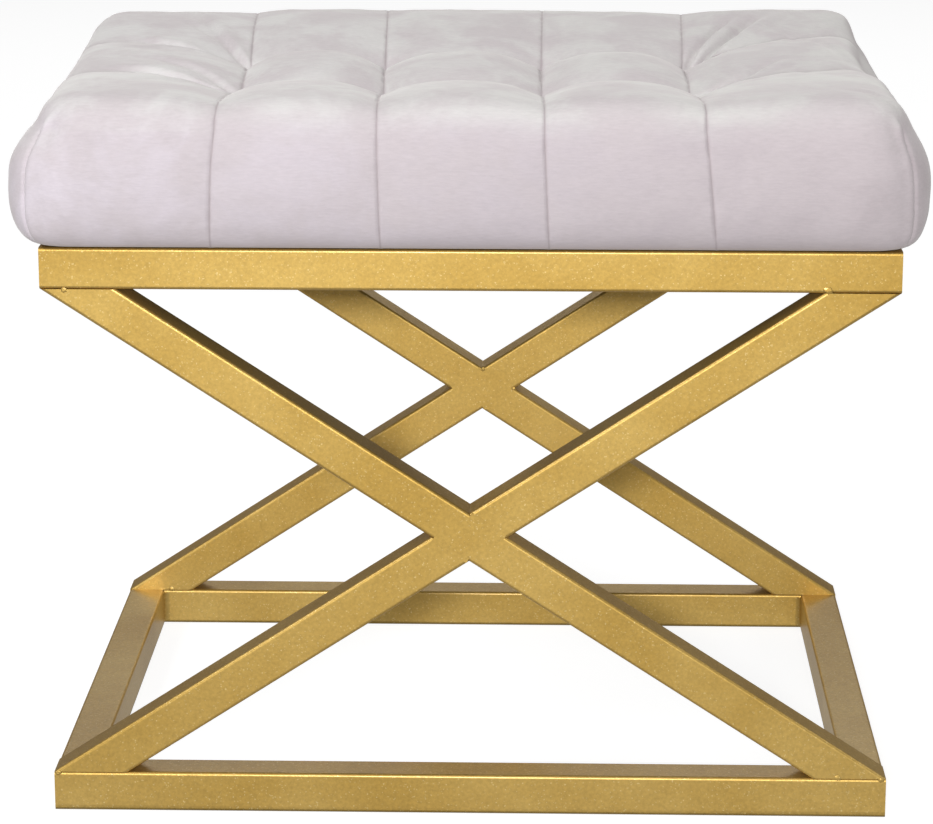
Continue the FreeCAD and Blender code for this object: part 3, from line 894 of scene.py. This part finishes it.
    def plan(self, spot: Spot, rise: float) -> Triple:
        """Places a point of the mesh in plan.

        Args:
            spot: its place in the grid.
            rise: the rise of the outline that bounds the grid.

        Returns:
            The point's x and y, and how far it stands out from the frame.
        """
        stand = self.offset(rise)
        half_depth = self.half_depth + stand
        half_width = self.half_width + stand
        last = len(self.seams)
        stations = [-half_width, *(line[1] for line in self.seams), half_width]
        rough_x = blend(stations[spot.column], stations[spot.column + 1], spot.fx)
        shrink = half_depth / (self.half_depth + self.offset(self.shoulder_rise))
        rows = [-half_depth, *(through(stations, line, rough_x) * shrink for line in self.creases), half_depth]
        y = blend(rows[spot.row], rows[spot.row + 1], spot.fy)
        columns = [-half_width, *(self.seam_at(number, y, rise) for number in range(last)), half_width]
        x = blend(columns[spot.column], columns[spot.column + 1], spot.fx)
        spread = min(rise / self.bulge_rise, 1.0)
        corner = blend(*self.corners, smooth_step(*self.corner_change, y))
        radius = corner + stand - max(corner - self.base_corner, 0.0) * (1 - spread)
        across = abs(x) - (half_width - radius)
        deep = abs(y) - (half_depth - radius)
        if across > 0 and deep > 0:
            scale = max(across, deep) / math.hypot(across, deep)
            across, deep = across * scale, deep * scale
            x = math.copysign(half_width - radius + across, x)
            y = math.copysign(half_depth - radius + deep, y)
            out = math.hypot(across, deep) - radius + stand
        else:
            out = max(across, deep) - radius + stand
        bow = self.front_puff * spread * self.puff(spot.fx) * (self.outer_puff if spot.column in (0, last) else 1.0)
        bow *= smooth_step(*self.face_shares, abs(y) / half_depth)
        side = 1 if x > 0 else 0
        swell = self.side_swells[side] * spread ** 0.5
        lean = through(self.lean_stations, self.leans[side], y) * smooth_step(*self.lean_rises, rise)
        near = smooth_step(*self.face_shares, abs(x) / half_width) * math.copysign(1.0, x)
        return x + (swell - lean) * near, y + math.copysign(bow, y), out

    def top_rise(self, spot: Spot, stand: float) -> float:
        """Gives the rise of the quilt's top, rounded off into its sides.

        Args:
            spot: the point's place in the grid.
            stand: how far it stands out from the frame.

        Returns:
            The rise above the lining.
        """
        column, fx, fy = spot.column, spot.fx, spot.fy
        outer = column in (0, len(self.seams))
        out = 1 - fx if column == 0 else fx
        near, far = self.tuft_rises
        crease = self.crease_rise
        if outer:
            crease = blend(self.crease_rise, self.side_crease_rise, min(out / self.side_crease_share, 1.0))
        back = 0.0
        if spot.row == 1:
            swell = math.sin(math.pi * fy) ** self.crest_power
            seam = blend(near, far, fy) + (self.middle_seam_rise - near) * swell
            crest = crease + (self.middle_crest_rise - crease) * swell
        else:
            share = 1 - fy if spot.row == 0 else fy
            tuft, rim_seam, rim_crest, power = near, self.rim_seam_rise, self.front_crest_rise, self.seam_powers[0]
            if spot.row == 2:
                ends = (self.back_seam_rises[0], *self.back_seam_rises, self.back_seam_rises[-1])
                tuft, power, rim_crest = far, self.seam_powers[1], self.back_crest_rises[column]
                rim_seam = blend(ends[column], ends[column + 1], fx)
                back = smooth_step(*self.square_shares, fy)
            seam = tuft + (rim_seam - tuft) * math.sin(math.pi / 2 * share) ** power
            swell = 0.0
            if share > 0:
                swell = math.sin(math.pi / 2 * share / self.rim_crest_place) ** self.crest_power
            crest = crease + (rim_crest - crease) * swell
        high = self.puff(fx)
        if outer:
            high = 1 - (1 - min(out / self.outer_crest_place, 1.0)) ** self.puff_power
        rise = seam + (crest - seam) * high
        rim = self.rim_rise(stand, back)
        soft = blend(*self.edge_blends, back)
        gap = max(soft - abs(rise - rim), 0.0) / soft
        return min(rise, rim) - gap * gap * soft / 4

    def skin(self) -> Mesh:
        """Makes the shaped grid: the top, and the sides down to the frame. It marks the seams in two layers, and
        paints shade into the creases in the first.
        """
        stations = [-self.half_width, *(sum(line) / len(line) for line in self.seams), self.half_width]
        columns = self.marks([b - a for a, b in zip(stations, stations[1:])], self.seam_offsets)
        depths = [-self.half_depth, *(line[2] for line in self.creases), self.half_depth]
        rows = self.marks([b - a for a, b in zip(depths, depths[1:])], self.crease_offsets)
        wide, deep = len(columns) - 1, len(rows) - 1
        bm = bmesh.new()
        bmesh.ops.create_grid(bm, x_segments=wide, y_segments=deep, size=1.0)
        bmesh.ops.scale(bm, verts=bm.verts, vec=(wide / 2, deep / 2, 1.0))
        bmesh.ops.translate(bm, verts=bm.verts, vec=(wide / 2, deep / 2, 0.0))
        border = [edge for edge in bm.edges if edge.is_boundary]
        for _ in self.side_rises:
            ring, border = extruded(bm, border)
            bmesh.ops.translate(bm, verts=ring, vec=(0.0, 0.0, -1.0))
        seam_and_crease_shade_layer, gap_layer = (bm.verts.layers.float.new(name) for name in ("seam", "seam_gap"))
        for vert in bm.verts:
            # Until it is placed, a point's coordinates are its numbers in the grid.
            across, along, level = round(vert.co.x), round(vert.co.y), round(-vert.co.z)
            spot = Spot(*columns[across], *rows[along])
            rise = self.side_rises[level - 1] if level else self.shoulder_rise
            x, y, stand = self.plan(spot, rise)
            if not level:
                rise = self.top_rise(spot, stand)
            width = stations[spot.column + 1] - stations[spot.column]
            depth = depths[spot.row + 1] - depths[spot.row]
            gap = min(spot.fx * width if spot.column else width,
                      (1 - spot.fx) * width if spot.column < len(self.seams) else width)
            crease = min(spot.fy * depth if spot.row else depth, (1 - spot.fy) * depth if spot.row < 2 else depth)
            # Painted shade in the creases between the tufts, on the top alone
            shade = 0.0 if level else self.crease_shade * math.exp(-crease / self.crease_width)
            at_side = level and across in (0, wide)
            vert[gap_layer] = width if at_side else gap
            vert[seam_and_crease_shade_layer] = 0.0 if at_side else max(1 - smooth_step(*self.seam_line, gap), shade)
            vert.co = Vector((x, y, self.base_level + rise)) * MM
        return bm

    def settled(self, piece: bpy.types.Object) -> list[Vector]:
        """Lets the skin settle as cloth under pressure, held wherever it is a millimetre or more from a seam.

        The puffs keep their shape and the seams between them ease outwards. The left column's front edge, which
        comes before the first seam in the mesh, is free as well.

        Args:
            piece: the skin.

        Returns:
            Where each of its points settles.
        """
        gaps = [point.value for point in piece.data.attributes["seam_gap"].data]
        first = gaps.index(0.0)
        holds = [0.0] * first + [1.0] + [min(gap, 1.0) for gap in gaps[first + 1:]]
        held = piece.vertex_groups.new(name="held")
        for number, hold in enumerate(holds):
            if hold > 0:
                held.add([number], hold, "REPLACE")
        cloth = piece.modifiers.new("inflate", "CLOTH")
        cloth.settings.vertex_group_mass = held.name
        for name, value in self.cloth:
            setattr(cloth.settings, name, value)
        cloth.settings.effector_weights.gravity = 0.0
        cloth.collision_settings.use_collision = False
        cloth.collision_settings.use_self_collision = False
        cloth.point_cache.frame_start = 1
        cloth.point_cache.frame_end = self.frames
        scene = bpy.context.scene
        for number in range(1, self.frames + 1):
            scene.frame_set(number)
        eased = piece.evaluated_get(bpy.context.evaluated_depsgraph_get()).to_mesh()
        places = [vert.co.copy() for vert in eased.vertices]
        piece.modifiers.remove(cloth)
        piece.vertex_groups.clear()
        scene.frame_set(1)
        return places

    def divided(self, piece: bpy.types.Object) -> None:
        """Divides the piece's mesh once, smoothly, and keeps the result."""
        step = piece.modifiers.new("divide", "SUBSURF")
        step.levels = 1
        step.render_levels = 1
        fine = bpy.data.meshes.new_from_object(piece.evaluated_get(bpy.context.evaluated_depsgraph_get()))
        piece.modifiers.remove(step)
        old = piece.data
        piece.data = fine
        bpy.data.meshes.remove(old)
        fine.name = piece.name

    def folded(self, bm: Mesh) -> None:
        """Presses the folds, seams and puckers into the fine mesh."""
        gap_layer = bm.verts.layers.float["seam_gap"]
        tufts = [(line[row], self.seam_stations[row]) for row in (1, 2) for line in self.seams]
        (pit, pit_width), (stitch, stitch_width), (pucker, pucker_width) = self.pit, self.stitch, self.pucker
        bm.normal_update()
        moves = []
        for vert in bm.verts:
            x, y, z = vert.co / MM
            rise = z - self.base_level
            gap = vert[gap_layer]
            shift = 0.0
            if rise > self.fold_rise:
                shift += sum(fold.shift(x, y) for fold in self.folds)
            shift += self.pleat(x, y, rise)
            for tuft_x, tuft_y in tufts:
                off = math.hypot(x - tuft_x, y - tuft_y)
                if off < self.pit_reach and rise > self.pit_rise:
                    shift -= pit * math.exp(-off / pit_width)
            shift -= stitch * bell(gap, 0.0, stitch_width)
            wrinkle = noise.noise(Vector([a / size for a, size in zip((x, y, z), self.pucker_sizes)]))
            shift += pucker * wrinkle * math.exp(-gap / pucker_width) * smooth_step(0.0, self.pucker_start, gap)
            for height, length, start in self.waves:
                shift += height * noise.noise(Vector((x / length + start, y / length, z / length)))
            calm = smooth_step(0.0, self.calm_rise, rise)
            moves.append(vert.normal * (shift * calm * MM))
        for vert, move in zip(bm.verts, moves):
            vert.co += move

    def pleat(self, x: float, y: float, rise: float) -> float:
        """Tells how far the corner's pleat moves the cloth outwards, in millimetres.

        Args:
            x: the place across the width.
            y: the place from front to back.
            rise: the place's height above the lining.

        Returns:
            The move, below zero in the pleat's groove and above it on its lip.
        """
        across = abs(x) - self.half_width + self.pleat_centre
        deep = abs(y) - self.half_depth + self.pleat_centre
        above = rise - self.pleat_top
        if across <= 0 or deep <= 0 or above > 6:
            return 0.0
        turn = math.degrees(math.atan2(deep, across)) - self.pleat_angle
        arc = turn * math.pi / 180 * math.hypot(across, deep)
        groove_depth, groove_width = self.pleat_groove
        lip_height, lip_place, lip_width = self.pleat_lip
        relief = lip_height * bell(arc, lip_place, lip_width) - groove_depth * bell(arc, 0.0, groove_width)
        nub = self.pleat_nub * bell(above, *self.pleat_nub_rise) * bell(arc, *self.pleat_nub_place)
        return relief * (1 - smooth_step(*self.pleat_fade, above)) + nub

    def closed(self, bm: Mesh) -> None:
        """Folds the cover under the board, and lines it round the board and the foam."""
        border = [edge for edge in bm.edges if edge.is_boundary]
        wide, deep = self.half_width, self.half_depth
        for half_x, half_y, z in self.inner_rings:
            ring, border = extruded(bm, border)
            bmesh.ops.scale(bm, verts=ring, vec=(half_x / wide, half_y / deep, 0.0))
            bmesh.ops.translate(bm, verts=ring, vec=(0.0, 0.0, z * MM))
            wide, deep = half_x, half_y
        bmesh.ops.contextual_create(bm, geom=border)
        bmesh.ops.recalc_face_normals(bm, faces=bm.faces)

    def build(self, palette: Palette) -> None:
        """Makes the cover and hides the CAD solid that it stands for."""
        piece = finished(self.skin(), "quilted_velvet_cover", palette.of(Finish.VELVET))
        cap = self.cap * MM
        for vert, place in zip(piece.data.vertices, self.settled(piece)):
            move = place - vert.co
            vert.co += move * (cap / (cap + move.length))
        self.divided(piece)
        bm = bmesh.new()
        bm.from_mesh(piece.data)
        self.folded(bm)
        self.closed(bm)
        bm.to_mesh(piece.data)
        bm.free()
        piece.data.attributes.remove(piece.data.attributes["seam_gap"])
        on_body(piece)
        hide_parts("quilted_cover")


@dataclass
class CrossingWelds:
    """Where each brace's halves are welded to the whole one: joints filled and ground flush, and a few cold beads.

    Sizes are in millimetres.
    """

    centre_rise: float = 176.5
    tube: float = 25.0
    corner: float = 2.0
    # The whole brace's axis, from the upper left to the lower right at the front
    run: Pair = (0.8374, -0.5466)
    fill_width: float = 4.0
    fill_depth: float = 2.0
    # Each fill runs past its joint's ends, bites into the half brace and has its edges broken.
    fill_overrun: float = 2.0
    fill_bite: float = 0.3
    fill_edge: float = 0.04
    proud: float = 0.04
    # The braces' faces from front to back: the face's place, the way it looks and the whole brace's lean
    faces: tuple[Triple, ...] = (
        (-202.5, -1.0, 1.0), (-177.5, 1.0, 1.0), (202.5, 1.0, -1.0), (177.5, -1.0, -1.0))
    # Beads that the grinder missed: place, radius and how far each stands out
    beads: tuple[tuple[Triple, float, float], ...] = (
        ((211.5, -202.4, 330.0), 2.9, 0.5),
        ((-240.4, -202.4, 327.6), 2.0, 0.4),
        ((-252.6, -202.4, 24.2), 2.0, 0.45),
        ((252.0, -202.4, 24.4), 1.8, 0.4),
        ((225.4, -202.4, 25.6), 2.2, 0.4),
        ((-224.6, 177.6, 25.6), 2.0, 0.45),
        ((0.6, 177.7, 190.6), 1.8, 0.6),
        ((22.2, 177.7, 176.8), 1.6, 0.6),
    )
    bead_squash: float = 0.8
    bead_roughness: Pair = (0.4, 1.7)

    def fill(self, bm: Mesh, plane: float, outward: float, lean: float, side: float) -> None:
        """Adds the filled joint on one face of the whole brace.

        Args:
            bm: the mesh that gets it.
            plane: the face's place from front to back.
            outward: the way the face looks, minus one to the front.
            lean: one where the whole brace falls to the right as seen from the front, or minus one.
            side: above the whole brace, or below it with minus one.
        """
        half = self.tube / 2
        length = 2 * (half - self.corner) / abs(2 * self.run[0] * self.run[1])
        made = bmesh.ops.create_cube(bm, size=1.0)["verts"]
        bmesh.ops.scale(
            bm, verts=made, vec=(length + self.fill_overrun, self.fill_depth + self.proud, self.fill_width))
        edges = list({edge for vert in made for edge in vert.link_edges})
        faces = bmesh.ops.bevel(
            bm, geom=edges, offset=self.fill_edge, segments=1, profile=0.5, affect="EDGES", material=-1)["faces"]
        verts = list({vert for face in faces for vert in face.verts})
        turn = Matrix.Rotation(math.atan2(-lean * self.run[1], self.run[0]), 3, "Y")
        bmesh.ops.rotate(bm, verts=verts, matrix=turn, cent=(0.0, 0.0, 0.0))
        reach = half - self.corner + self.fill_width / 2 - self.fill_bite
        # The joint's middle is where the half brace's axis meets the whole one's side.
        along = reach / math.tan(2 * math.atan2(-self.run[1], self.run[0]))
        x = side * (along * self.run[0] - reach * self.run[1]) * lean
        z = side * (along * self.run[1] + reach * self.run[0])
        y = plane - outward * (self.fill_depth - self.proud) / 2
        bmesh.ops.translate(bm, verts=verts, vec=(x, y, self.centre_rise + z))

    def bead(self, bm: Mesh, place: Triple, radius: float, stand: float) -> None:
        """Adds a cold bead of weld, a flat drop with an uneven edge."""
        depth, grain = self.bead_roughness
        made = bmesh.ops.create_icosphere(bm, subdivisions=3, radius=1.0)["verts"]
        for vert in made:
            uneven = 1 + depth * noise.noise(vert.co * grain + Vector(place))
            vert.co = Vector((vert.co.x * radius, vert.co.y * stand, vert.co.z * radius * self.bead_squash)) * uneven
        bmesh.ops.translate(bm, verts=made, vec=place)

    def build(self, palette: Palette) -> None:
        """Makes the flush joints and the beads, as two painted pieces."""
        joints, drops = bmesh.new(), bmesh.new()
        for face in self.faces:
            for side in (-1.0, 1.0):
                self.fill(joints, *face, side)
        for bead in self.beads:
            self.bead(drops, *bead)
        for bm, name, smooth in ((joints, "ground_joints", False), (drops, "weld_beads", True)):
            piece = on_body(finished(bm, name, palette.of(Finish.GOLD_PAINT), smooth, MM))


@dataclass
class SeatLining:
    """The thin black lining stapled under the board, one cut sheet stretched between the rails and the board.

    Sizes are in millimetres.
    """

    width: float = 494.0
    depth: float = 389.0
    level: float = 353.1
    thickness: float = 0.6
    cell: float = 4.0
    bolts: Pair = (206.0, 110.0)
    bolt_hole: float = 4.6
    # It sags where the ring is open, with slow ripples and fine ones, as height and lengths.
    sag: float = 1.6
    sag_power: float = 0.6
    opening: Pair = (190.0, 168.0)
    slow_ripple: Triple = (0.25, 45.0, 45.0)
    fine_ripple: Triple = (0.1, 9.0, 16.0)
    fine_start: float = 3.0

    def fall(self, x: float, y: float) -> float:
        """Tells how far the lining hangs down at a place, more in the middle of the open ring."""
        across, deep = (max(1 - (place / half) ** 2, 0.0) for place, half in zip((x, y), self.opening))
        hang = self.sag
        for (height, wide, long), start in ((self.slow_ripple, 0.0), (self.fine_ripple, self.fine_start)):
            hang += height * noise.noise(Vector((x / wide, y / long, start)))
        return hang * (across * deep) ** self.sag_power

    def build(self, palette: Palette) -> None:
        """Makes the lining and hides its CAD solid."""
        bm = bmesh.new()
        wide, deep = round(self.width / self.cell), round(self.depth / self.cell)
        bmesh.ops.create_grid(bm, x_segments=wide, y_segments=deep, size=0.5)
        bmesh.ops.scale(bm, verts=bm.verts, vec=(self.width, self.depth, 1.0))
        holes = []
        for face in bm.faces:
            x, y, _ = face.calc_center_median()
            if math.dist((abs(x), abs(y)), self.bolts) < self.bolt_hole:
                holes.append(face)
        bmesh.ops.delete(bm, geom=holes, context="FACES")
        for vert in bm.verts:
            vert.co.z = self.level - self.fall(vert.co.x, vert.co.y)
        bmesh.ops.solidify(bm, geom=bm.faces, thickness=-self.thickness)
        bmesh.ops.recalc_face_normals(bm, faces=bm.faces)
        piece = on_body(finished(bm, "seat_lining", palette.of(Finish.LINING_CLOTH), unit=MM))
        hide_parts("lining")


@dataclass
class SeatFilling:
    """What the cover hides: the foam, and the tapes that pull its eight tufts down to the board.

    Sizes are in millimetres.
    """

    foam_size: Triple = (511.6, 406.6, 44.8)
    foam_level: float = 367.4
    foam_edge: float = 10.0
    foam_cuts: int = 30
    # The foam's faces sink here and there: height and length of the waves, and how far they are lowered
    foam_sink: Triple = (0.6, 40.0, 0.3)
    tape_width: float = 6.0
    tape_thickness: float = 0.8
    tape_cuts: tuple[int, int] = (6, 48)
    tape_wave: float = 0.12
    tape_foot: float = 16.0
    tape_top: float = 412.3
    foot_level: float = 354.9
    tufts_x: Row = (-144.0, -48.0, 48.0, 144.0)
    tuft_y: float = 67.5

    def foam(self, palette: Palette) -> None:
        """Cuts the foam: a block whose upper edges are trimmed and whose faces sink a little."""
        bm = bmesh.new()
        made = bmesh.ops.create_cube(bm, size=1.0)["verts"]
        bmesh.ops.scale(bm, verts=made, vec=self.foam_size)
        bmesh.ops.translate(bm, verts=made, vec=(0.0, 0.0, self.foam_level + self.foam_size[2] / 2))
        top = [edge for edge in bm.edges if all(vert.co.z > self.foam_level + 1 for vert in edge.verts)]
        bmesh.ops.bevel(bm, geom=top, offset=self.foam_edge, segments=1, profile=0.5, affect="EDGES", material=-1)
        bmesh.ops.subdivide_edges(bm, edges=bm.edges, cuts=self.foam_cuts, use_grid_fill=True)
        bm.normal_update()
        height, length, drop = self.foam_sink
        moves = [vert.normal * min(height * noise.noise(vert.co / length) - drop, 0.0) for vert in bm.verts]
        for vert, move in zip(bm.verts, moves):
            vert.co += move
        piece = on_body(finished(bm, "foam_block", palette.of(Finish.FOAM), unit=MM))
        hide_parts("foam_core")

    def tapes(self, palette: Palette) -> None:
        """Leads each tape from its tuft down through the foam and the board, and turns its foot inwards."""
        bm = bmesh.new()
        rise = self.tape_top - self.foot_level
        wide, long = self.tape_cuts
        for x in self.tufts_x:
            for y in (-self.tuft_y, self.tuft_y):
                strip = bmesh.ops.create_grid(bm, x_segments=wide, y_segments=long, size=0.5)["verts"]
                for vert in strip:
                    run = (vert.co.y + 0.5) * (rise + self.tape_foot)
                    above = max(run - self.tape_foot, 0.0)
                    inward = -math.copysign(max(self.tape_foot - run, 0.0), y)
                    wave = self.tape_wave * math.sin(above / rise * 2 * math.pi)
                    vert.co = Vector((
                        x + vert.co.x * self.tape_width, y + inward + wave, self.foot_level + above))
        bmesh.ops.solidify(bm, geom=bm.faces, thickness=self.tape_thickness)
        bmesh.ops.recalc_face_normals(bm, faces=bm.faces)
        piece = on_body(finished(bm, "tuft_tape_straps", palette.of(Finish.TAPE), unit=MM))
        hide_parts("tuft_tapes")

    def build(self, palette: Palette) -> None:
        """Makes the foam and the tapes."""
        self.foam(palette)
        self.tapes(palette)


def main() -> None:
    """Builds the scene, one sub-assembly after the other."""
    Studio().build()
    palette = Palette()
    palette.dress_nodes()
    CrossingWelds().build(palette)
    SeatLining().build(palette)
    SeatFilling().build(palette)
    QuiltedCover().build(palette)


if __name__ == "__main__":
    main()
